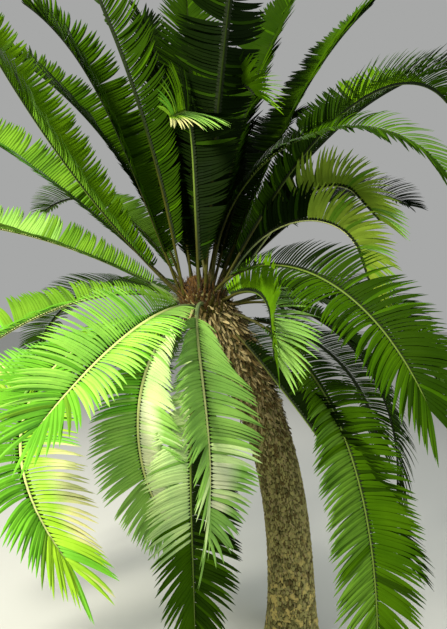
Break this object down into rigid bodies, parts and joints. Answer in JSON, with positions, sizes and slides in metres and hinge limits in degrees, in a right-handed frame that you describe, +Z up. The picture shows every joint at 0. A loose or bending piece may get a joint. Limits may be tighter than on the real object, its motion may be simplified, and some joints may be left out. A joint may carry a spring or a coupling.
{
  "type": "bread palm",
  "caption": "Bread palm: a leaning trunk clad in old leaf bases carries a woolly heart and a full crown of arching, drooping and curled feather fronds.",
  "frame": {"origin": "middle of the flat cut under the trunk, at ground level", "axes": "+Z up, -Y towards the picture's viewpoint, +X to its right; the trunk leans towards -X and -Y"},
  "size_m": [3.8949, 3.3034, 4.3661],
  "materials": {
    "trunk": "rough tan bark of overlapping old leaf bases",
    "heart": "matt orange-brown wool",
    "frond_sunlit": "leathery, slightly glossy, yellow-green",
    "frond_shaded": "leathery, slightly glossy, dark green"
  },
  "bodies": {
    "root": {"trunk": "trunk", "crown_heart": "heart", "frond_back_01": "frond_shaded", "frond_back_02": "frond_shaded", "frond_back_03": "frond_shaded", "frond_back_04": "frond_shaded", "frond_back_05": "frond_shaded", "frond_back_06": "frond_shaded", "frond_back_07": "frond_shaded", "frond_back_08": "frond_shaded", "frond_back_09": "frond_shaded", "frond_back_10": "frond_shaded", "frond_back_11": "frond_shaded", "frond_back_12": "frond_shaded", "frond_back_13": "frond_shaded", "frond_back_14": "frond_shaded", "frond_back_15": "frond_shaded", "frond_back_16": "frond_shaded", "frond_back_17": "frond_shaded", "frond_back_18": "frond_shaded", "frond_back_19": "frond_shaded", "frond_foot_hanging": "frond_sunlit", "frond_front_curled_inner": "frond_sunlit", "frond_front_curled_outer": "frond_sunlit", "frond_front_hanging_inner": "frond_sunlit", "frond_front_hanging_outer": "frond_sunlit", "frond_left": "frond_sunlit", "frond_left_back": "frond_shaded", "frond_left_front": "frond_sunlit", "frond_left_hanging_inner": "frond_sunlit", "frond_left_hanging_outer": "frond_sunlit", "frond_left_low": "frond_sunlit", "frond_left_low_curled_inner": "frond_sunlit", "frond_left_low_curled_outer": "frond_sunlit", "frond_left_middle": "frond_shaded", "frond_overhead_curled_inner": "frond_shaded", "frond_overhead_curled_outer": "frond_shaded", "frond_overhead_right_inner": "frond_shaded", "frond_overhead_right_outer": "frond_shaded", "frond_right_arched_inner": "frond_shaded", "frond_right_arched_outer": "frond_shaded", "frond_right_curled_inner": "frond_shaded", "frond_right_curled_outer": "frond_shaded", "frond_right_curled_top_inner": "frond_shaded", "frond_right_curled_top_outer": "frond_shaded", "frond_right_foot": "frond_shaded", "frond_right_front": "frond_shaded", "frond_right_hanging": "frond_shaded", "frond_right_hung_inner": "frond_shaded", "frond_right_hung_outer": "frond_shaded", "frond_right_low": "frond_shaded", "frond_right_outer": "frond_shaded", "frond_tall_back": "frond_shaded", "frond_tall_left": "frond_shaded", "frond_tall_right": "frond_shaded", "frond_upper_left": "frond_shaded", "frond_upper_left_tall": "frond_shaded", "frond_upper_right": "frond_shaded", "frond_upper_right_low": "frond_shaded"}
  },
  "joints": []
}
